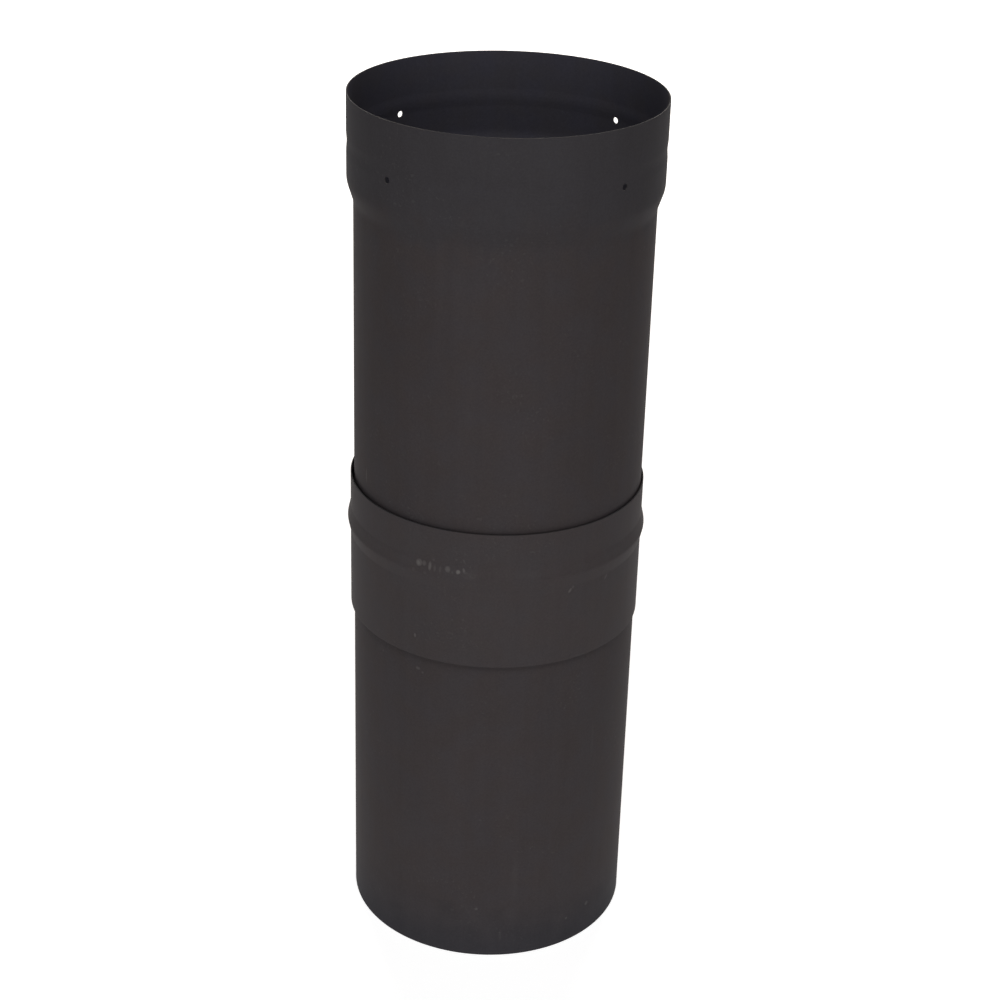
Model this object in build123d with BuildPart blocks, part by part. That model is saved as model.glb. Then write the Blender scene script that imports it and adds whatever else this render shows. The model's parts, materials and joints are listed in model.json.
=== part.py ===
from build123d import *
import os
from math import cos, radians, sin

# A slip length of single-wall stove pipe: a tube with a formed bell, and a loose slip collar.
# The pipe stands on its plain end, with its axis on Z and its base at Z = 0. Sizes are in mm.

# Sheet and fits
sheet = 0.6
slip_clearance = 0.9
socket_clearance = 0.9

# Pipe
pipe_length = 457.2
tube_diameter = 149.4

# Bell, from the rim down: mouth, ring rolled inwards, seat, taper
bell_depth = 43.2
taper_length = 10.1
taper_bend = 15.0
ring_drop = 24.2
ring_width = 9.0
ring_floor = 2.0
ring_depth = 0.3

# Screw holes through the bell's seat
screw_hole_diameter = 3.2
screw_hole_drop = 28.4
screw_hole_count = 4
screw_hole_start = 45.0
screw_hole_cut = 4 * sheet

# Slip collar, from the foot up: spigot, bead, neck
collar_foot = 182.0
spigot_length = 42.4
bead_width = 14.2
bead_height = 1.6
bead_crest_bend = 4.0
bead_foot_bend = 6.0
neck_length = 18.4

# The loose collar leans against the pipe and leaves this gap where it comes nearest
collar_touch_gap = 0.3
collar_lean_direction = 235.0

# Outer radii that follow from the fits: each piece slips over the one before it
tube_radius = tube_diameter / 2
collar_radius = tube_radius + slip_clearance + sheet
ring_radius = collar_radius + socket_clearance + sheet
bell_radius = ring_radius + ring_depth

# Heights along the pipe
seat_foot = pipe_length - bell_depth
taper_foot = seat_foot - taper_length
ring_middle = pipe_length - ring_drop
ring_foot = ring_middle - ring_width / 2
floor_foot = ring_middle - ring_floor / 2
floor_top = ring_middle + ring_floor / 2
ring_top = ring_middle + ring_width / 2
screw_hole_height = pipe_length - screw_hole_drop

# Heights along the collar
bead_foot = collar_foot + spigot_length
bead_crest = bead_foot + bead_width / 2
bead_top = bead_foot + bead_width
collar_rim = bead_top + neck_length

# The collar's own axis
collar_lean = slip_clearance - collar_touch_gap
collar_x = collar_lean * cos(radians(collar_lean_direction))
collar_y = collar_lean * sin(radians(collar_lean_direction))

# The pipe is one sheet: its outer skin drawn from base to rim, thickened inwards and turned round Z
with BuildPart() as slip_pipe:
    with BuildSketch(Plane.XZ) as pipe_section:
        with BuildLine() as pipe_skin:
            FilletPolyline(
                (tube_radius, 0),
                (tube_radius, taper_foot),
                (bell_radius, seat_foot),
                (bell_radius, ring_foot),
                radius=taper_bend,
            )
            Polyline(
                (bell_radius, ring_foot),
                (ring_radius, floor_foot),
                (ring_radius, floor_top),
                (bell_radius, ring_top),
                (bell_radius, pipe_length),
            )
            offset(amount=sheet, side=Side.LEFT, kind=Kind.INTERSECTION)
        make_face()
    revolve(axis=Axis.Z)
    with Locations((0, 0, screw_hole_height)):
        with PolarLocations(bell_radius, screw_hole_count, start_angle=screw_hole_start):
            Cylinder(screw_hole_diameter / 2, screw_hole_cut, rotation=(0, 90, 0), mode=Mode.SUBTRACT)
slip_pipe.part.label = "slip_pipe"

# The collar is one sheet too, with a ridged bead rolled outwards above its spigot
collar_axis = Axis((collar_x, collar_y, 0), (0, 0, 1))
collar_plane = Plane(origin=(collar_x, collar_y, 0), x_dir=(1, 0, 0), z_dir=(0, -1, 0))
with BuildPart() as slip_collar:
    with BuildSketch(collar_plane) as collar_section:
        with BuildLine() as collar_skin:
            FilletPolyline(
                (collar_radius, collar_foot),
                (collar_radius, bead_foot),
                (collar_radius + bead_height, bead_crest),
                (collar_radius, bead_top),
                (collar_radius, collar_rim),
                radius=(bead_foot_bend, bead_crest_bend, bead_foot_bend),
            )
            offset(amount=sheet, side=Side.LEFT)
        make_face()
    revolve(axis=collar_axis)
slip_collar.part.label = "slip_collar"

os.makedirs("parts", exist_ok=True)
export_step(slip_pipe.part, "parts/slip_pipe.step")
export_step(slip_collar.part, "parts/slip_collar.step")
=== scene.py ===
"""A slip length of single-wall stove pipe: its sheet forms, matte stove paint, studio light and camera."""

import json
import logging
import math
from collections.abc import Sequence
from dataclasses import dataclass
from enum import Enum, IntEnum
from functools import reduce

import bmesh
import bpy
from mathutils import Matrix, Vector

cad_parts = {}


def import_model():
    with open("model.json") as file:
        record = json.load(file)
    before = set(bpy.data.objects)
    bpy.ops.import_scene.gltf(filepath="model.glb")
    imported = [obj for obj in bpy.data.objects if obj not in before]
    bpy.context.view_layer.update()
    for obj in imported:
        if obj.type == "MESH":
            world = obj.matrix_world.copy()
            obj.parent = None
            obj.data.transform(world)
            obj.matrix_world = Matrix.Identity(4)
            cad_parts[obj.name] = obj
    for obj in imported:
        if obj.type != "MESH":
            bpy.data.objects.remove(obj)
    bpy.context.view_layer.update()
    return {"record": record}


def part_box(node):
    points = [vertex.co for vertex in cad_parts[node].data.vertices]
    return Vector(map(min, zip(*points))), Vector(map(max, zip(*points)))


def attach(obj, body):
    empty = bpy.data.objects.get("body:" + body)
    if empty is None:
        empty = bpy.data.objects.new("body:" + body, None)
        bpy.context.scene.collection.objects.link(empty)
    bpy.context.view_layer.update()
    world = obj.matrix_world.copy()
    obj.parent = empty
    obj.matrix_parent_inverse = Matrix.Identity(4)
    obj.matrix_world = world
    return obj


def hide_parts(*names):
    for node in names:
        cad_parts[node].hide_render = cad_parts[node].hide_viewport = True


LOG = logging.getLogger("stove_pipe")
MM = 0.001

Colour = tuple[float, float, float]
Point = tuple[float, float, float]

WHITE: Colour = (1.0, 1.0, 1.0)


class Zone(IntEnum):
    """The side of the sheet that a face lies on; its number is the face's material slot."""

    OUTSIDE = 0
    INSIDE = 1
    CUT_EDGE = 2


class Operation(Enum):
    """What a Math node works out."""

    SUM = "ADD"
    DIFFERENCE = "SUBTRACT"
    PRODUCT = "MULTIPLY"
    QUOTIENT = "DIVIDE"
    POWER = "POWER"
    SIZE = "ABSOLUTE"
    LARGER = "MAXIMUM"
    TURN = "ARCTAN2"


class Value:
    """A node's output that takes part in Python arithmetic: each operation adds one Math node."""

    def __init__(self, tree: "NodeTree", socket: bpy.types.NodeSocket) -> None:
        """Keep the socket and the tree that it belongs to."""
        self.tree = tree
        self.socket = socket

    def math(self, operation: Operation, *operands: "Value | float") -> "Value":
        """Add one Math node.

        Args:
            operation: what it works out.
            operands: values or numbers, in the node's own order.

        Returns:
            The node's result.
        """
        return self.tree.node("ShaderNodeMath", {"operation": operation.value}, dict(enumerate(operands)))

    def __add__(self, other: "Value | float") -> "Value":
        """Sum."""
        return self.math(Operation.SUM, self, other)

    def __radd__(self, other: float) -> "Value":
        """Sum, from the right."""
        return self.math(Operation.SUM, other, self)

    def __sub__(self, other: "Value | float") -> "Value":
        """Difference."""
        return self.math(Operation.DIFFERENCE, self, other)

    def __rsub__(self, other: float) -> "Value":
        """Difference, from the right."""
        return self.math(Operation.DIFFERENCE, other, self)

    def __mul__(self, other: "Value | float") -> "Value":
        """Product."""
        return self.math(Operation.PRODUCT, self, other)

    def __rmul__(self, other: float) -> "Value":
        """Product, from the right."""
        return self.math(Operation.PRODUCT, other, self)

    def __truediv__(self, other: "Value | float") -> "Value":
        """Quotient."""
        return self.math(Operation.QUOTIENT, self, other)

    def __rtruediv__(self, other: float) -> "Value":
        """Quotient, from the right."""
        return self.math(Operation.QUOTIENT, other, self)

    def __pow__(self, other: float) -> "Value":
        """Power."""
        return self.math(Operation.POWER, self, other)

    def __abs__(self) -> "Value":
        """Size without sign."""
        return self.math(Operation.SIZE, self)

    def or_more(self, other: "Value | float") -> "Value":
        """The larger of the two."""
        return self.math(Operation.LARGER, self, other)

    def rise(self, low: float, high: float) -> "Value":
        """Go smoothly from 0 at one limit to 1 at the other, and no further.

        Args:
            low: where the result is 0; it may lie above the other limit.
            high: where the result is 1.

        Returns:
            The result, from 0 to 1.
        """
        limits = {"Value": self, "From Min": low, "From Max": high}
        return self.tree.node("ShaderNodeMapRange", {"interpolation_type": "SMOOTHSTEP"}, limits)

    def beside(self, name: str) -> "Value":
        """Another output of the same node."""
        return Value(self.tree, self.socket.node.outputs[name])


class NodeTree:
    """A node tree that is filled from Python."""

    # Numbers of a Mix node's sockets that carry colours
    MIX_SHARE = 0
    MIX_FIRST = 6
    MIX_SECOND = 7
    MIX_RESULT = 2

    def __init__(self, tree: bpy.types.NodeTree) -> None:
        """Empty the tree and keep it."""
        self.tree = tree
        tree.nodes.clear()

    def node(
        self,
        kind: str,
        settings: dict | None = None,
        sockets: dict | None = None,
        out: str | int = 0,
    ) -> Value:
        """Add one node.

        Args:
            kind: the node's type.
            settings: the node's own properties, which are set first.
            sockets: numbers, colours, vectors or values for its inputs, by name or number.
            out: the output that is wanted.

        Returns:
            That output.
        """
        made = self.tree.nodes.new(kind)
        for name, setting in (settings or {}).items():
            setattr(made, name, setting)
        for name, given in (sockets or {}).items():
            socket = made.inputs[name]
            if isinstance(given, Value):
                self.tree.links.new(given.socket, socket)
            elif socket.type == "RGBA":
                socket.default_value = (*given, 1.0)
            else:
                socket.default_value = given
        return Value(self, made.outputs[out] if made.outputs else None)

    def place(self) -> Value:
        """Place on the piece, in metres in the part's own frame."""
        return self.node("ShaderNodeTexCoord", out="Object")

    def millimetres(self) -> Value:
        """Place on the piece, in mm in the part's own frame."""
        return self.node("ShaderNodeVectorMath", {"operation": "SCALE"}, {0: self.place(), "Scale": 1 / MM})

    def split(self, vector: Value) -> tuple[Value, Value, Value]:
        """The three parts of a vector."""
        x = self.node("ShaderNodeSeparateXYZ", {}, {"Vector": vector}, "X")
        return x, x.beside("Y"), x.beside("Z")

    def stretch(self, vector: Value, factors: Point) -> Value:
        """A vector with each part multiplied by its own factor."""
        return self.node("ShaderNodeVectorMath", {"operation": "MULTIPLY"}, {0: vector, 1: factors})

    def length(self, vector: Value) -> Value:
        """A vector's length."""
        return self.node("ShaderNodeVectorMath", {"operation": "LENGTH"}, {0: vector}, "Value")

    def blend(self, share: "Value | float", first: "Value | Colour", second: "Value | Colour") -> Value:
        """A colour that goes from the first to the second."""
        sockets = {self.MIX_SHARE: share, self.MIX_FIRST: first, self.MIX_SECOND: second}
        return self.node("ShaderNodeMix", {"data_type": "RGBA"}, sockets, self.MIX_RESULT)

    def dim(self, colour: Value, share: Value) -> Value:
        """A colour with all its parts multiplied by one value."""
        return self.node("ShaderNodeVectorMath", {"operation": "SCALE"}, {0: colour, "Scale": share})


@dataclass(frozen=True)
class Clouds:
    """A cloudy pattern that stays fixed to the piece. Sizes are in mm.

    Attributes:
        size: of its largest clouds.
        detail: how many times smaller clouds are laid over them.
        seed: a number that picks the pattern.
        squeeze: factors that shrink its clouds along X, Y and Z; below 1 they are drawn out.
    """

    size: float
    detail: float
    seed: float
    squeeze: Point = (1.0, 1.0, 1.0)

    MIDDLE = 0.5

    def read(self, tree: NodeTree, place: Value) -> Value:
        """Add the pattern to a material.

        Args:
            tree: the material's node tree.
            place: on the piece, in mm.

        Returns:
            A value from about -0.3 to 0.3.
        """
        spot = tree.stretch(place, self.squeeze)
        sockets = {"Vector": spot, "W": self.seed, "Scale": 1 / self.size, "Detail": self.detail}
        return tree.node("ShaderNodeTexNoise", {"noise_dimensions": "4D"}, sockets, "Fac") - self.MIDDLE


@dataclass(frozen=True)
class Mark:
    """A scuff or scratch in the paint.

    Attributes:
        angle: from the front towards the right, in degrees.
        height: of its middle, in mm.
        length: along the mark, in mm.
        width: across the mark, in mm.
        slant: of its length from upright towards the right, in degrees.
        strength: share of the paint's colour that it takes over.
    """

    angle: float
    height: float
    length: float
    width: float
    slant: float = 0.0
    strength: float = 0.5

    def share(self, across: Value, up: Value) -> Value:
        """How much of the mark shows: all of it in its middle, and less and less towards its edge.

        Args:
            across: distance from its middle along the sheet towards the right, in mm.
            up: distance from its middle upwards, in mm.

        Returns:
            The mark's share, up to its strength.
        """
        lean = math.radians(self.slant)
        along = (up * math.cos(lean) + across * math.sin(lean)) / (self.length / 2)
        aside = (across * math.cos(lean) - up * math.sin(lean)) / (self.width / 2)
        return (along**2 + aside**2).rise(1.0, 0.0) * self.strength


@dataclass(frozen=True)
class WearAndHighlight:
    """A level band round the sheet where the paint is lightened in patches: partly handling wear, partly
    painted highlight. Sizes are in mm.

    Attributes:
        height: of its middle.
        width: along the axis.
        strength: share of the paint's colour that it takes over.
    """

    height: float
    width: float
    strength: float


@dataclass(frozen=True)
class ShadeBand:
    """Painted shade: a darker, cooler change of the paint's colour towards one end of the sheet. Heights are
    in mm.

    Attributes:
        start: height where it begins.
        full: height from which it has its full share; it may lie below the start.
        colour: that the paint takes on.
        share: of the paint's colour that it takes over.
    """

    start: float
    full: float
    colour: Colour
    share: float


@dataclass(frozen=True)
class StovePaint:
    """Matte heat-proof black paint, sprayed on rolled steel sheet and handled since. Sizes are in mm.

    Attributes:
        name: of the material.
        warm: colour of its browner clouds.
        cool: colour of its greyer clouds.
        bare: colour of what shows through in a scuff.
        dust: colour of the specks of dust on it.
        radius: of the sheet that it lies on, to measure marks along it.
        centre: of that sheet's axis.
        shade_bands: painted shade, darker changes of colour along the sheet.
        marks: single scuffs.
        wear_and_highlights: bands of wear that are partly painted highlight.
        roughness: of its surface.
        specular: level of its shine.
    """

    name: str
    warm: Colour
    cool: Colour
    bare: Colour = (0.17, 0.16, 0.155)
    dust: Colour = (0.12, 0.115, 0.11)
    radius: float = 75.0
    centre: tuple[float, float] = (0.0, 0.0)
    shade_bands: tuple[ShadeBand, ...] = ()
    marks: tuple[Mark, ...] = ()
    wear_and_highlights: tuple[WearAndHighlight, ...] = ()
    roughness: float = 0.7
    specular: float = 0.08

    # Patterns: size of the clouds, detail and seed
    CLOUDS = Clouds(55.0, 3.0, 1.0)
    PATCHES = Clouds(14.0, 2.0, 2.0)
    DRAGS = Clouds(5.0, 3.0, 3.0, squeeze=(1.0, 1.0, 0.05))
    GRAIN = Clouds(0.9, 2.0, 4.0)
    SCRAPES = Clouds(1.6, 2.0, 5.0)
    PEEL = Clouds(1.4, 1.0, 6.0)
    SPECKS = Clouds(1.7, 1.0, 7.0)
    DUSTY = Clouds(34.0, 2.0, 8.0)

    # Spans of the patterns over which a look goes from none to all
    SCUFF_SPAN = (-0.35, 0.0)
    WEAR_AND_HIGHLIGHT_SPAN = (-0.3, 0.3)
    HUE_SPAN = (-0.15, 0.15)
    SPECK_SPAN = (0.1, 0.24)
    DUSTY_SPAN = (0.0, 0.12)

    # How much each pattern changes the tone, the shine and the relief
    CLOUD_TONE = 0.24
    PATCH_TONE = 0.14
    DRAG_TONE = 0.14
    GRAIN_TONE = 0.34
    DUST_SHARE = 0.1
    SHADE_RAGGED = 40.0
    WORN_SHINE = 0.15
    CLOUD_SHINE = 0.12
    GRAIN_SHINE = 0.1
    PEEL_GRAIN = 0.5
    PEEL_STRENGTH = 0.12
    PEEL_DEPTH = 0.1

    def worn(self, tree: NodeTree, place: Value) -> Value:
        """Where the paint is scuffed, or lightened in bands that are partly wear and partly painted
        highlight.

        Args:
            tree: the material's node tree.
            place: on the piece, in mm.

        Returns:
            The share of bare colour, from 0 to 1.
        """
        x, y, z = tree.split(place)
        turn = x.math(Operation.TURN, x - self.centre[0], self.centre[1] - y)
        scrapes = self.SCRAPES.read(tree, place)
        patches = self.PATCHES.read(tree, place)
        scuffed = scrapes.rise(*self.SCUFF_SPAN)
        patchy_lit_wear = patches.rise(*self.WEAR_AND_HIGHLIGHT_SPAN)
        shares = []
        for mark in self.marks:
            across = (turn - math.radians(mark.angle)) * self.radius
            shares.append(mark.share(across, z - mark.height) * scuffed)
        # Bands of lightened paint: partly wear, partly painted highlight
        for lit_wear in self.wear_and_highlights:
            shares.append(abs(z - lit_wear.height).rise(lit_wear.width / 2, 0.0) * lit_wear.strength * patchy_lit_wear)
        return reduce(Value.or_more, shares)

    def colour(self, tree: NodeTree, place: Value) -> Value:
        """The paint's colour with its painted shade, without its wear.

        Args:
            tree: the material's node tree.
            place: on the piece, in mm.

        Returns:
            The colour.
        """
        patches = self.PATCHES.read(tree, place)
        tone = (
            1
            + self.CLOUDS.read(tree, place) * self.CLOUD_TONE
            + patches * self.PATCH_TONE
            + self.DRAGS.read(tree, place) * self.DRAG_TONE
            + self.GRAIN.read(tree, place) * self.GRAIN_TONE
        )
        colour = tree.blend(patches.rise(*self.HUE_SPAN), self.warm, self.cool)
        _, _, height = tree.split(place)
        # Painted shade: darker bands of colour towards an end of the sheet, with a ragged edge
        edge = height + patches * self.SHADE_RAGGED
        for shade_band in self.shade_bands:
            colour = tree.blend(edge.rise(shade_band.start, shade_band.full) * shade_band.share, colour, shade_band.colour)
        specks = self.SPECKS.read(tree, place).rise(*self.SPECK_SPAN)
        dusty = self.DUSTY.read(tree, place).rise(*self.DUSTY_SPAN)
        return tree.blend(specks * dusty * self.DUST_SHARE, tree.dim(colour, tone), self.dust)

    def material(self) -> bpy.types.Material:
        """Build the material.

        Returns:
            The painted finish.
        """
        made = bpy.data.materials.new(self.name)
        made.use_nodes = True
        tree = NodeTree(made.node_tree)
        place = tree.millimetres()
        grain = self.GRAIN.read(tree, place)
        colour = self.colour(tree, place)
        clouds = self.CLOUDS.read(tree, place)
        roughness = self.roughness + clouds * self.CLOUD_SHINE + grain * self.GRAIN_SHINE
        if self.marks or self.wear_and_highlights:
            worn = self.worn(tree, place)
            colour = tree.blend(worn, colour, self.bare)
            roughness = roughness - worn * self.WORN_SHINE
        peel = self.PEEL.read(tree, place) + grain * self.PEEL_GRAIN
        relief = {"Strength": self.PEEL_STRENGTH, "Distance": self.PEEL_DEPTH * MM, "Height": peel}
        looks = {
            "Base Color": colour,
            "Roughness": roughness,
            "Specular IOR Level": self.specular,
            "Normal": tree.node("ShaderNodeBump", {}, relief),
        }
        shader = tree.node("ShaderNodeBsdfPrincipled", {}, looks)
        tree.node("ShaderNodeOutputMaterial", {}, {"Surface": shader})
        return made


@dataclass(frozen=True)
class Corner:
    """A corner of a sheet's outer skin, drawn from its foot up.

    Attributes:
        radius: from the axis, in mm.
        height: in mm.
        bend: radius of the round bend in the corner, in mm.
        rows: of faces on the straight run from here to the next corner.
    """

    radius: float
    height: float
    bend: float = 0.0
    rows: int = 1


@dataclass(frozen=True)
class SkinRow:
    """A row of points on a sheet's outer skin.

    Attributes:
        radius: from the axis, in mm.
        height: in mm.
        lean: of the skin's outward normal above the level, in radians.
    """

    radius: float
    height: float
    lean: float


@dataclass(frozen=True)
class LoopRow:
    """A row of points round a sheet's closed section.

    Attributes:
        radius: from the axis, in mm.
        height: in mm.
        zone: of the faces between this row and the next.
    """

    radius: float
    height: float
    zone: Zone


@dataclass(frozen=True)
class ScrewHole:
    """A round hole through a sheet, square to it.

    Attributes:
        angle: from +X round the axis, in radians.
        height: of its middle, in mm.
        radius: of the hole, in mm.
    """

    angle: float
    height: float
    radius: float


@dataclass
class SheetLathe:
    """Turns a sheet's section round its own axis into one closed mesh, and pierces it. Sizes are in mm.

    Attributes:
        corners: of the outer skin, from the foot up; the end runs are upright.
        sheet: its thickness.
        centre: of its axis.
        holes: to pierce, in order round the axis.
        columns: of faces round the axis, between the holes.
    """

    corners: tuple[Corner, ...]
    sheet: float
    centre: tuple[float, float] = (0.0, 0.0)
    holes: tuple[ScrewHole, ...] = ()
    columns: int = 224

    EDGE_ROUND = 0.15
    EDGE_STEPS = 3
    BEND_STEP = math.radians(3.0)
    FEWEST_BEND_STEPS = 2
    PATCH_HALF = 2.8
    PATCH_CELLS = 8
    SAME_PLACE = 0.001
    HOLE_LIP = 0.09
    HOLE_MARGIN = 0.27

    def skin(self) -> list[SkinRow]:
        """Sample the outer skin.

        Returns:
            Its rows, from the foot up.
        """
        runs = list(zip(self.corners, self.corners[1:]))
        leans = [math.atan2(low.radius - high.radius, high.height - low.height) for low, high in runs]
        turns = [0.0, *(after - before for before, after in zip(leans, leans[1:])), 0.0]
        trims = [corner.bend * math.tan(abs(turn) / 2) for corner, turn in zip(self.corners, turns)]
        rows: list[SkinRow] = []

        def add(radius: float, height: float, lean: float) -> None:
            """Add a row, unless it lies on the last one."""
            if not rows or math.hypot(radius - rows[-1].radius, height - rows[-1].height) > self.SAME_PLACE:
                rows.append(SkinRow(radius, height, lean))

        for index, (low, high) in enumerate(runs):
            lean, turn = leans[index], turns[index + 1]
            length = math.hypot(high.radius - low.radius, high.height - low.height)
            straight = length - trims[index] - trims[index + 1]
            for step in range(low.rows + 1):
                along = trims[index] + straight * step / low.rows
                add(low.radius - along * math.sin(lean), low.height + along * math.cos(lean), lean)
            if high.bend and turn:
                reach = math.copysign(high.bend, turn)
                middle_radius = rows[-1].radius - reach * math.cos(lean)
                middle_height = rows[-1].height - reach * math.sin(lean)
                steps = max(self.FEWEST_BEND_STEPS, round(abs(turn) / self.BEND_STEP))
                for step in range(1, steps + 1):
                    now = lean + turn * step / steps
                    add(middle_radius + reach * math.cos(now), middle_height + reach * math.sin(now), now)
        return rows

    def loop(self, skin: Sequence[SkinRow]) -> list[LoopRow]:
        """Close the section: up the outer skin, over the rim, down the inner skin and round the foot.

        Args:
            skin: the outer skin's rows.

        Returns:
            The rows of the closed section.
        """
        foot, rim = skin[0].height + self.EDGE_ROUND, skin[-1].height - self.EDGE_ROUND
        outer, inner = [], []
        for row in skin:
            radius = row.radius - self.sheet * math.cos(row.lean)
            height = row.height - self.sheet * math.sin(row.lean)
            outer.append(LoopRow(row.radius, min(max(row.height, foot), rim), Zone.OUTSIDE))
            inner.append(LoopRow(radius, min(max(height, foot), rim), Zone.INSIDE))
        outer[-1] = LoopRow(outer[-1].radius, rim, Zone.CUT_EDGE)
        inner[0] = LoopRow(inner[0].radius, foot, Zone.CUT_EDGE)
        over = self.rounding(outer[-1].radius, inner[-1].radius, rim, 0.0)
        under = self.rounding(inner[0].radius, outer[0].radius, foot, math.pi)
        return [*outer, *over, *reversed(inner), *under]

    def rounding(self, first: float, second: float, height: float, start: float) -> list[LoopRow]:
        """Rows over a cut edge that is rounded on both sides.

        Args:
            first: radius of the skin that it starts from, in mm.
            second: radius of the skin that it ends at, in mm.
            height: at which the roundings start, in mm.
            start: angle at which the first rounding starts, in radians.

        Returns:
            The rows between the two skins.
        """
        inward = math.copysign(self.EDGE_ROUND, second - first)
        rows = []
        for middle, turned in ((first + inward, 0.0), (second - inward, math.pi / 2)):
            for step in range(self.EDGE_STEPS + 1):
                angle = start + turned + math.pi / 2 * step / self.EDGE_STEPS
                radius = middle + self.EDGE_ROUND * math.cos(angle)
                rows.append(LoopRow(radius, height + self.EDGE_ROUND * math.sin(angle), Zone.CUT_EDGE))
        return rows[1:-1]

    @staticmethod
    def radius_at(skin: Sequence[SkinRow], height: float) -> float:
        """Radius of the outer skin at a height that lies between two of its rows.

        Args:
            skin: the outer skin's rows.
            height: in mm.

        Returns:
            The radius, in mm.
        """
        upper = next(number for number, row in enumerate(skin) if row.height > height)
        low, high = skin[upper - 1], skin[upper]
        share = (height - low.height) / (high.height - low.height)
        return low.radius + share * (high.radius - low.radius)

    def inner_row(self, skin: Sequence[SkinRow], row: int) -> int:
        """Number, in the closed section, of the inner skin's row behind an outer one."""
        return 2 * (len(skin) + self.EDGE_STEPS) - 1 - row

    def angles(self) -> list[float]:
        """Angles of the columns: close together at the holes, even between them."""
        if not self.holes:
            return [math.tau * column / self.columns for column in range(self.columns)]
        half = self.PATCH_HALF / self.corners[0].radius
        between = self.columns // len(self.holes)
        starts = [hole.angle for hole in self.holes]
        found = []
        for here, after in zip(starts, [*starts[1:], starts[0] + math.tau]):
            gap = after - here - 2 * half
            found += [here - half + 2 * half * cell / self.PATCH_CELLS for cell in range(self.PATCH_CELLS)]
            found += [here + half + gap * column / between for column in range(between)]
        return found

    def place(self, radius: float, height: float, angle: float) -> Vector:
        """A point of the sheet, in metres."""
        x = self.centre[0] + radius * math.cos(angle)
        y = self.centre[1] + radius * math.sin(angle)
        return Vector((x, y, height)) * MM

    def build(self, name: str) -> bpy.types.Object:
        """Make the sheet's mesh.

        Args:
            name: of the piece.

        Returns:
            The piece, linked to the scene.
        """
        skin = self.skin()
        loop = self.loop(skin)
        angles = self.angles()
        form = bmesh.new()
        grid = []
        for row in loop:
            grid.append([form.verts.new(self.place(row.radius, row.height, angle)) for angle in angles])
        pierced = self.pierced_cells(skin, len(angles))
        for row, here in enumerate(loop):
            upper = grid[(row + 1) % len(loop)]
            for column in range(len(angles)):
                if (row, column) not in pierced:
                    after = (column + 1) % len(angles)
                    face = form.faces.new((grid[row][column], grid[row][after], upper[after], upper[column]))
                    face.material_index = here.zone
        for index, hole in enumerate(self.holes):
            self.pierce(form, grid, skin, index, hole)
        loose = [vertex for vertex in form.verts if not vertex.link_faces]
        bmesh.ops.delete(form, geom=loose, context="VERTS")
        bmesh.ops.recalc_face_normals(form, faces=form.faces)
        for face in form.faces:
            face.smooth = True
        mesh = bpy.data.meshes.new(name)
        form.to_mesh(mesh)
        form.free()
        piece = bpy.data.objects.new(name, mesh)
        bpy.context.scene.collection.objects.link(piece)
        return piece

    def patch_rows(self, skin: Sequence[SkinRow], hole: ScrewHole) -> range:
        """Numbers of the outer skin's rows that bound a hole's square of faces and lie in it."""
        reach = self.PATCH_HALF + self.SAME_PLACE
        inside = [number for number, row in enumerate(skin) if abs(row.height - hole.height) < reach]
        return range(inside[0], inside[-1] + 1)

    def patch_columns(self, index: int, columns: int) -> range:
        """Numbers of the columns of faces in a hole's square."""
        first = index * (columns // len(self.holes))
        return range(first, first + self.PATCH_CELLS)

    def pierced_cells(self, skin: Sequence[SkinRow], columns: int) -> set[tuple[int, int]]:
        """Faces that the holes' squares take up.

        Args:
            skin: the outer skin's rows.
            columns: of faces round the axis.

        Returns:
            The row and column of each such face, on both skins.
        """
        cells = set()
        for index, hole in enumerate(self.holes):
            for row in self.patch_rows(skin, hole)[:-1]:
                for column in self.patch_columns(index, columns):
                    cells |= {(row, column), (self.inner_row(skin, row + 1), column)}
        return cells

    def pierce(
        self,
        form: bmesh.types.BMesh,
        grid: Sequence[Sequence[bmesh.types.BMVert]],
        skin: Sequence[SkinRow],
        index: int,
        hole: ScrewHole,
    ) -> None:
        """Fill a hole's square of faces on both skins up to the hole, and line the hole.

        Args:
            form: the mesh that is being made.
            grid: its points, by row and column.
            skin: the outer skin's rows.
            index: the hole's number.
            hole: the hole.
        """
        rows = self.patch_rows(skin, hole)
        columns = self.patch_columns(index, len(grid[0]))
        low, high = rows[0], rows[-1]
        left, right = columns[0], columns[-1] + 1
        outline = [(low, column) for column in range(left, right)]
        outline += [(row, right) for row in range(low, high)]
        outline += [(high, column) for column in range(right, left, -1)]
        outline += [(row, left) for row in range(high, low, -1)]
        cell = 2 * self.PATCH_HALF / self.PATCH_CELLS
        directions = []
        for row, column in outline:
            across = (column - left) * cell - self.PATCH_HALF
            directions.append(math.atan2(skin[row].height - hole.height, across))

        def ring(reach: float, depth: float) -> list[bmesh.types.BMVert]:
            """Points round the hole, at a distance from its axis and a depth below the outer skin."""
            made = []
            for direction in directions:
                height = hole.height + reach * math.sin(direction)
                radius = self.radius_at(skin, height) - depth
                angle = hole.angle + math.asin(reach * math.cos(direction) / radius)
                made.append(form.verts.new(self.place(radius, height, angle)))
            return made

        lip, margin = hole.radius + self.HOLE_LIP, hole.radius + self.HOLE_MARGIN
        rings = [
            ([grid[row][column] for row, column in outline], Zone.OUTSIDE),
            (ring(margin, 0.0), Zone.OUTSIDE),
            (ring(lip, 0.0), Zone.CUT_EDGE),
            (ring(hole.radius, self.HOLE_LIP), Zone.CUT_EDGE),
            (ring(hole.radius, self.sheet - self.HOLE_LIP), Zone.CUT_EDGE),
            (ring(lip, self.sheet), Zone.INSIDE),
            (ring(margin, self.sheet), Zone.INSIDE),
            ([grid[self.inner_row(skin, row)][column] for row, column in outline], Zone.INSIDE),
        ]
        for (outer, zone), (inner, _) in zip(rings, rings[1:]):
            for step in range(len(outer)):
                after = (step + 1) % len(outer)
                face = form.faces.new((outer[step], outer[after], inner[after], inner[step]))
                face.material_index = zone


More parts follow.
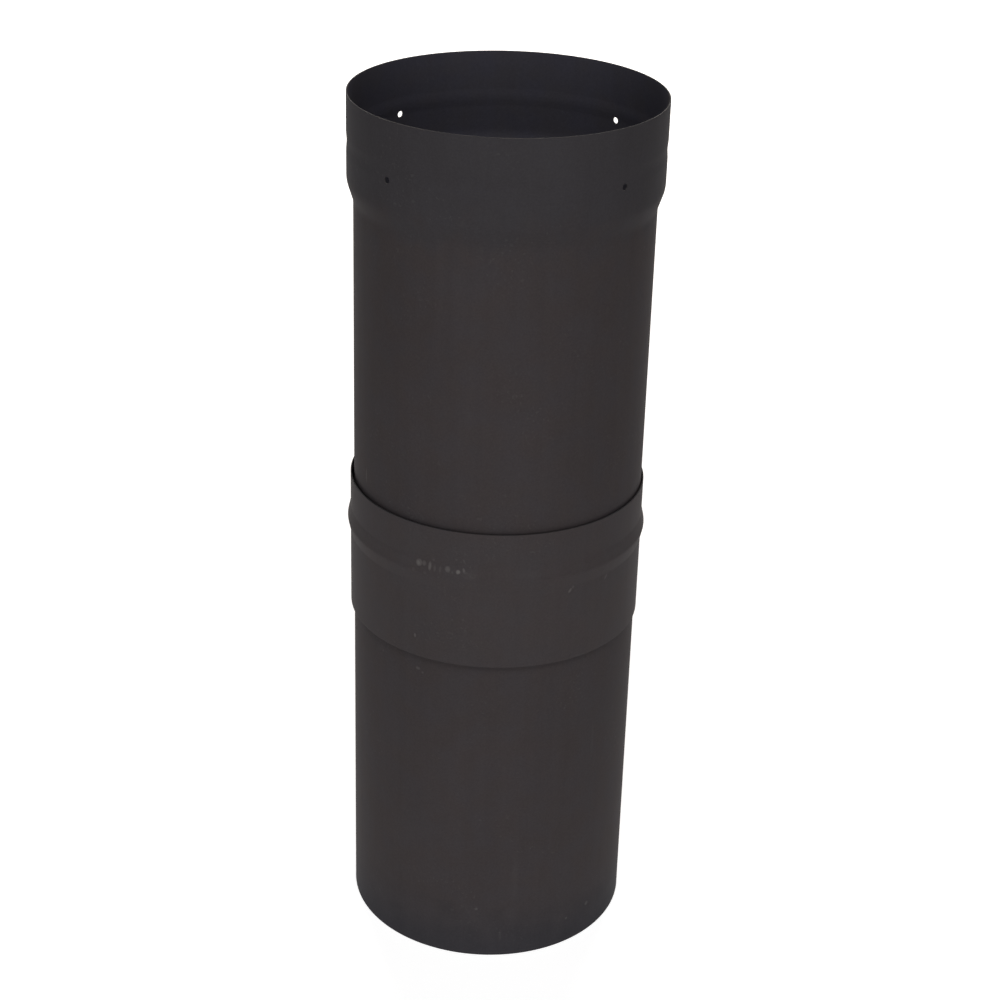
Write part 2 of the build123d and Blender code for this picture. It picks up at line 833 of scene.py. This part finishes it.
@dataclass(frozen=True)
class Dress:
    """The paints of a sheet's three zones.

    Attributes:
        outside: of the outer skin.
        inside: of the inner skin.
        cut_edge: of the rim, the foot and the holes.
    """

    outside: StovePaint
    inside: StovePaint
    cut_edge: StovePaint

    def put_on(self, piece: bpy.types.Object) -> None:
        """Give the piece its materials, in the order of the zones."""
        for paint in (self.outside, self.inside, self.cut_edge):
            piece.data.materials.append(paint.material())


@dataclass
class SlipPipe:
    """The tube with its formed bell: one rolled sheet, pierced for screws. Sizes are in mm.

    Attributes:
        length: of the whole pipe.
        tube_radius: outside radius of the tube.
        bell_radius: outside radius of the bell.
        ring_radius: outside radius of the ring that is rolled into the bell.
        sheet: thickness.
        holes: for screws, through the bell.
        bell_depth: from the rim to the foot of the bell's seat.
        taper_length: height of the taper between tube and bell.
        taper_bend: radius of the bends at both ends of the taper.
        ring_drop: from the rim to the ring's middle.
        ring_width: along the axis.
        ring_floor: width of the ring's level floor.
        ring_bend: radius of the bends along the ring.
        edge_band: width of the rows along the cut edges.
    """

    length: float
    tube_radius: float
    bell_radius: float
    ring_radius: float
    sheet: float
    holes: tuple[ScrewHole, ...]
    bell_depth: float = 43.2
    taper_length: float = 10.1
    taper_bend: float = 15.0
    ring_drop: float = 24.2
    ring_width: float = 9.0
    ring_floor: float = 2.0
    ring_bend: float = 8.0
    edge_band: float = 1.0

    @classmethod
    def from_frame(cls, record: dict) -> "SlipPipe":
        """Take the pipe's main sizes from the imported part.

        Args:
            record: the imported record.

        Returns:
            The pipe.
        """
        mounts = {mount["name"]: mount for mount in record["mounts"]}
        _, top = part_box("slip_pipe")
        drilled = [mount for name, mount in mounts.items() if name.startswith("screw_hole")]
        holes = []
        for mount in drilled:
            x, y, _ = mount["axis"]
            height = mount["pos_m"][2] / MM
            holes.append(ScrewHole(math.atan2(y, x) % math.tau, height, mount["dims"]["r_mm"]))
        sheet = drilled[0]["dims"]["length_mm"]
        return cls(
            length=top.z / MM,
            tube_radius=mounts["slip_end"]["dims"]["r_mm"],
            bell_radius=top.x / MM,
            ring_radius=mounts["bell_socket"]["dims"]["r_mm"] + sheet,
            sheet=sheet,
            holes=tuple(sorted(holes, key=lambda hole: hole.angle)),
        )

    def corners(self) -> tuple[Corner, ...]:
        """Corners of the outer skin, from the base up."""
        seat_foot = self.length - self.bell_depth
        ring_middle = self.length - self.ring_drop
        ring_half, floor_half = self.ring_width / 2, self.ring_floor / 2
        return (
            Corner(self.tube_radius, 0.0),
            Corner(self.tube_radius, self.edge_band, rows=32),
            Corner(self.tube_radius, seat_foot - self.taper_length, self.taper_bend, rows=3),
            Corner(self.bell_radius, seat_foot, self.taper_bend, rows=4),
            Corner(self.bell_radius, self.holes[0].height - SheetLathe.PATCH_HALF, rows=3),
            Corner(self.bell_radius, ring_middle - ring_half, self.ring_bend, rows=3),
            Corner(self.ring_radius, ring_middle - floor_half, self.ring_bend),
            Corner(self.ring_radius, ring_middle + floor_half, self.ring_bend, rows=2),
            Corner(self.bell_radius, ring_middle + ring_half, self.ring_bend, rows=6),
            Corner(self.bell_radius, self.length - self.edge_band),
            Corner(self.bell_radius, self.length),
        )

    def build(self, dress: Dress) -> bpy.types.Object:
        """Make the pipe and dress it.

        Args:
            dress: its paints.

        Returns:
            The pipe.
        """
        piece = SheetLathe(self.corners(), self.sheet, holes=self.holes).build("pipe_sheet")
        dress.put_on(piece)
        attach(piece, "pipe")
        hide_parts("slip_pipe")
        return piece


@dataclass
class SlipCollar:
    """The loose collar: one short sheet with a ridged bead rolled outwards. Sizes are in mm.

    Attributes:
        foot: height of its lower edge.
        rim: height of its upper edge.
        radius: outside.
        centre: of its axis.
        sheet: thickness.
        spigot_length: from the foot to the bead.
        bead_width: along the axis.
        bead_height: of the bead's corner above the outside.
        bead_crest_bend: radius of the bend along its crest.
        bead_foot_bend: radius of the hollow bends beside the bead.
        edge_band: width of the rows along the cut edges.
    """

    foot: float
    rim: float
    radius: float
    centre: tuple[float, float]
    sheet: float
    spigot_length: float = 42.4
    bead_width: float = 14.2
    bead_height: float = 1.6
    bead_crest_bend: float = 4.0
    bead_foot_bend: float = 6.0
    edge_band: float = 1.0

    @classmethod
    def from_frame(cls, record: dict, sheet: float) -> "SlipCollar":
        """Take the collar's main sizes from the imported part.

        Args:
            record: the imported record.
            sheet: its thickness, in mm.

        Returns:
            The collar.
        """
        spigot = next(mount for mount in record["mounts"] if mount["name"] == "collar_spigot")
        low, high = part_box("slip_collar")
        x, y, _ = spigot["pos_m"]
        return cls(low.z / MM, high.z / MM, spigot["dims"]["r_mm"], (x / MM, y / MM), sheet)

    @property
    def bead_crest(self) -> float:
        """Height of the bead's crest."""
        return self.foot + self.spigot_length + self.bead_width / 2

    def corners(self) -> tuple[Corner, ...]:
        """Corners of the outer skin, from the foot up."""
        bead_foot = self.foot + self.spigot_length
        bead_top = bead_foot + self.bead_width
        return (
            Corner(self.radius, self.foot),
            Corner(self.radius, self.foot + self.edge_band, rows=5),
            Corner(self.radius, bead_foot, self.bead_foot_bend, rows=3),
            Corner(self.radius + self.bead_height, self.bead_crest, self.bead_crest_bend, rows=3),
            Corner(self.radius, bead_top, self.bead_foot_bend, rows=3),
            Corner(self.radius, self.rim - self.edge_band),
            Corner(self.radius, self.rim),
        )

    def build(self, dress: Dress) -> bpy.types.Object:
        """Make the collar and dress it.

        Args:
            dress: its paints.

        Returns:
            The collar.
        """
        piece = SheetLathe(self.corners(), self.sheet, centre=self.centre).build("collar_sheet")
        dress.put_on(piece)
        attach(piece, "collar")
        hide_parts("slip_collar")
        return piece


@dataclass(frozen=True)
class SoftBox:
    """A soft studio light that points at a place. Sizes are in metres.

    Attributes:
        name: of the light.
        place: where it stands.
        aim: what it points at.
        width: of its face.
        height: of its face.
        power: in watts.
        colour: of its light.
    """

    name: str
    place: Point
    aim: Point
    width: float
    height: float
    power: float
    colour: Colour = WHITE

    def build(self) -> bpy.types.Object:
        """Make the light.

        Returns:
            The light, linked to the scene.
        """
        lamp = bpy.data.lights.new(self.name, "AREA")
        lamp.shape = "RECTANGLE"
        lamp.size = self.width
        lamp.size_y = self.height
        lamp.energy = self.power
        lamp.color = self.colour
        made = bpy.data.objects.new(self.name, lamp)
        made.location = self.place
        made.rotation_euler = (Vector(self.aim) - Vector(self.place)).to_track_quat("-Z", "Y").to_euler()
        bpy.context.scene.collection.objects.link(made)
        return made


@dataclass
class Studio:
    """A plain white floor under soft light. Sizes are in metres.

    Attributes:
        lights: soft boxes.
        floor_side: of the floor.
        floor_colour: of the floor.
        floor_glow: white that the floor adds near the object, where it is seen or mirrored.
        far_white: how far out it adds full white.
        floor_bounce: light that the floor near the object throws back at it.
        bounce_reach: how far out that part of the floor goes.
    """

    lights: tuple[SoftBox, ...]
    floor_side: float = 12.0
    floor_colour: Colour = (0.8, 0.8, 0.8)
    floor_glow: float = 0.65
    far_white: float = 2.5
    floor_bounce: float = 0.42
    bounce_reach: float = 0.8

    @staticmethod
    def seen(tree: NodeTree) -> Value:
        """1 on rays that show the background: straight, mirrored or through glass."""
        path = tree.node("ShaderNodeLightPath", out="Is Camera Ray")
        return path.or_more(path.beside("Is Glossy Ray")).or_more(path.beside("Is Transmission Ray"))

    def build_floor(self) -> bpy.types.Object:
        """Make the floor.

        Returns:
            The floor.
        """
        half = self.floor_side / 2
        corners = [(-half, -half, 0), (half, -half, 0), (half, half, 0), (-half, half, 0)]
        mesh = bpy.data.meshes.new("floor")
        mesh.from_pydata(corners, [], [(0, 1, 2, 3)])
        floor = bpy.data.objects.new("floor", mesh)
        bpy.context.scene.collection.objects.link(floor)
        made = bpy.data.materials.new("white_floor")
        made.use_nodes = True
        tree = NodeTree(made.node_tree)
        paper = tree.node("ShaderNodeBsdfDiffuse", {}, {"Color": self.floor_colour})
        shown = self.seen(tree)
        away = tree.length(tree.place())
        white = self.floor_glow + away.rise(self.bounce_reach, self.far_white) * (1 - self.floor_glow)
        bounce = away.rise(self.bounce_reach, self.bounce_reach / 2) * self.floor_bounce
        strength = shown * white + (1 - shown) * bounce
        glow = tree.node("ShaderNodeEmission", {}, {"Color": WHITE, "Strength": strength})
        both = tree.node("ShaderNodeAddShader", {}, {0: paper, 1: glow})
        tree.node("ShaderNodeOutputMaterial", {}, {"Surface": both})
        mesh.materials.append(made)
        return floor

    def build_room(self) -> bpy.types.World:
        """Make the room, which looks white but sheds no light.

        Returns:
            The world.
        """
        world = bpy.data.worlds.new("room")
        world.use_nodes = True
        tree = NodeTree(world.node_tree)
        white = tree.node("ShaderNodeBackground", {}, {"Color": WHITE, "Strength": self.seen(tree)})
        tree.node("ShaderNodeOutputWorld", {}, {"Surface": white})
        bpy.context.scene.world = world
        return world

    def build(self) -> None:
        """Make the floor, the room and the lights."""
        self.build_floor()
        self.build_room()
        for light in self.lights:
            light.build()
            LOG.info("light %s: %.0f W", light.name, light.power)


@dataclass(frozen=True)
class PhotoCamera:
    """A camera at the photograph's viewpoint.

    Attributes:
        distance: from the pipe's axis, along the floor, in mm.
        height: above the floor, in mm.
        lens: focal length, in mm.
        sensor: width of the picture behind the lens, in mm.
        pan: towards the right, in degrees.
        pitch: below the level, in degrees.
        roll: in degrees.
    """

    distance: float = 1001.31
    height: float = 731.3
    lens: float = 76.51
    sensor: float = 36.0
    pan: float = 0.0914
    pitch: float = 26.194
    roll: float = 1.677

    def build(self) -> bpy.types.Object:
        """Make the camera and give it to the scene.

        Returns:
            The camera.
        """
        pan, pitch, roll = (math.radians(angle) for angle in (self.pan, self.pitch, self.roll))
        look = Vector((math.sin(pan) * math.cos(pitch), math.cos(pan) * math.cos(pitch), -math.sin(pitch)))
        level = Vector((math.cos(pan), -math.sin(pan), 0.0))
        upright = level.cross(look)
        right = level * math.cos(roll) + upright * math.sin(roll)
        up = upright * math.cos(roll) - level * math.sin(roll)
        data = bpy.data.cameras.new("photo_camera")
        data.lens = self.lens
        data.sensor_width = self.sensor
        camera = bpy.data.objects.new("photo_camera", data)
        turned = Matrix((right, up, -look)).transposed().to_4x4()
        camera.matrix_world = Matrix.Translation(Vector((0.0, -self.distance, self.height)) * MM) @ turned
        bpy.context.scene.collection.objects.link(camera)
        bpy.context.scene.camera = camera
        return camera


# Scuffs and scratches: angle, height, length and width, and the slant of those that lean
COLLAR_MARKS = (
    Mark(-29.2, 236.2, 4.6, 4.2, strength=0.42),
    Mark(-27.1, 236.5, 3.4, 3.0, strength=0.22),
    Mark(-24.6, 235.8, 5.6, 2.2, strength=0.34),
    Mark(-22.6, 235.1, 4.5, 1.6, strength=0.12),
    Mark(-20.4, 235.2, 4.5, 1.8, strength=0.1),
    Mark(-17.5, 236.0, 4.0, 3.6, strength=0.27),
    Mark(-13.4, 235.4, 2.8, 2.8, strength=0.55),
    Mark(-11.2, 236.2, 4.0, 1.6, -20.0, strength=0.3),
    Mark(-23.3, 239.4, 1.8, 1.8, strength=0.1),
    Mark(-14.3, 241.8, 1.8, 1.8, strength=0.08),
    Mark(-11.3, 241.3, 4.0, 1.4, -25.0, strength=0.1),
    Mark(-15.6, 234.8, 2.0, 1.6, strength=0.1),
    Mark(-26.4, 231.7, 2.0, 2.2, strength=0.08),
    Mark(-31.3, 232.0, 2.6, 2.6, strength=0.06),
    Mark(-20.8, 231.2, 1.8, 1.4, strength=0.06),
    Mark(-8.9, 234.1, 5.0, 9.0, strength=0.05),
    Mark(30.1, 222.1, 3.8, 1.8, 35.0, strength=0.26),
    Mark(31.4, 223.6, 2.2, 1.8, strength=0.14),
    Mark(47.9, 222.6, 4.0, 1.8, 35.0, strength=0.14),
    Mark(-31.0, 193.5, 3.0, 1.6, strength=0.26),
)
TUBE_MARKS = (
    Mark(-30.5, 173.3, 2.2, 3.4, strength=0.17),
    Mark(-28.4, 171.6, 1.8, 1.8, strength=0.12),
    Mark(-62.3, 267.7, 10.0, 1.4, strength=0.22),
    Mark(12.0, 52.0, 36.0, 5.0, strength=0.025),
    Mark(6.4, 13.3, 9.0, 2.0, strength=0.06),
    Mark(-3.8, 30.4, 2.2, 2.2, strength=0.22),
    Mark(47.7, 18.2, 3.4, 3.4, strength=0.17),
    Mark(36.3, 15.2, 2.0, 2.0, strength=0.18),
    Mark(45.9, 125.0, 30.0, 3.0, strength=0.03),
)
# The bead's upper slope above its crest is lightened in patches: partly handling wear, partly painted
# highlight where the slope faces the light from above
BEAD_WEAR_AND_HIGHLIGHT_ABOVE = 3.5
BEAD_WEAR_AND_HIGHLIGHT_WIDTH = 7.0
BEAD_WEAR_AND_HIGHLIGHT_STRENGTH = 0.03

# Painted shade: darker, cooler paint towards the base near the floor, and on the taper and bell
PIPE_PAINTED_SHADE = (
    ShadeBand(40.0, 0.0, (0.031, 0.0305, 0.036), 0.75),
    ShadeBand(385.0, 425.0, (0.0375, 0.0355, 0.0395), 0.8),
)

# Paints: colour of the browner and of the greyer clouds, and level of the shine
PIPE_WARM: Colour = (0.0452, 0.0383, 0.0393)
PIPE_COOL: Colour = (0.0432, 0.0378, 0.0402)
COLLAR_WARM: Colour = (0.0451, 0.0381, 0.0391)
COLLAR_COOL: Colour = (0.043, 0.0375, 0.0395)
# Painted light: the inside paint is lighter than the outside paint, standing in for the light from above
# that falls into the bell
INSIDE_LIT_WARM: Colour = (0.054, 0.0508, 0.0613)
INSIDE_LIT_COOL: Colour = (0.0508, 0.0489, 0.0632)
EDGE_WARM: Colour = (0.034, 0.031, 0.031)
EDGE_COOL: Colour = (0.029, 0.028, 0.03)
PIPE_SHINE = 0.05
COLLAR_SHINE = 0.09

BACK_WARMTH: Colour = (1.0, 0.91, 0.82)


def main() -> None:
    """Build the pipe, its collar, the studio and the camera, and log the pieces' face counts and the lights'
    powers.
    """
    logging.basicConfig(level=logging.INFO, format="%(name)s: %(message)s")
    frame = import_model()
    bpy.context.scene.view_settings.view_transform = "Standard"

    pipe = SlipPipe.from_frame(frame["record"])
    collar = SlipCollar.from_frame(frame["record"], pipe.sheet)
    # The inner skins' paint carries painted light from above
    inside = StovePaint("inside_paint", INSIDE_LIT_WARM, INSIDE_LIT_COOL)
    cut_edge = StovePaint("cut_edge_paint", EDGE_WARM, EDGE_COOL)
    pipe_outside = StovePaint(
        "pipe_paint",
        PIPE_WARM,
        PIPE_COOL,
        radius=pipe.tube_radius,
        specular=PIPE_SHINE,
        shade_bands=PIPE_PAINTED_SHADE,
        marks=TUBE_MARKS,
    )
    collar_outside = StovePaint(
        "collar_paint",
        COLLAR_WARM,
        COLLAR_COOL,
        radius=collar.radius,
        centre=collar.centre,
        specular=COLLAR_SHINE,
        marks=COLLAR_MARKS,
        wear_and_highlights=(WearAndHighlight(collar.bead_crest + BEAD_WEAR_AND_HIGHLIGHT_ABOVE, BEAD_WEAR_AND_HIGHLIGHT_WIDTH, BEAD_WEAR_AND_HIGHLIGHT_STRENGTH),),
    )
    for piece in (
        pipe.build(Dress(pipe_outside, inside, cut_edge)),
        collar.build(Dress(collar_outside, inside, cut_edge)),
    ):
        LOG.info("piece %s: %d faces", piece.name, len(piece.data.polygons))

    middle = (0.0, 0.0, pipe.length / 2 * MM)
    Studio(
        lights=(
            SoftBox("key_box", (0.0, -1.2, 2.2), middle, width=0.9, height=0.9, power=24.5),
            SoftBox("level_box", (0.0, -2.2, 0.5), middle, width=1.2, height=0.8, power=14.0),
            SoftBox(
                "back_box", (0.0, 2.2, 1.5), middle, width=1.6, height=1.2, power=39.0, colour=BACK_WARMTH
            ),
        ),
    ).build()
    PhotoCamera().build()


if __name__ == "__main__":
    main()
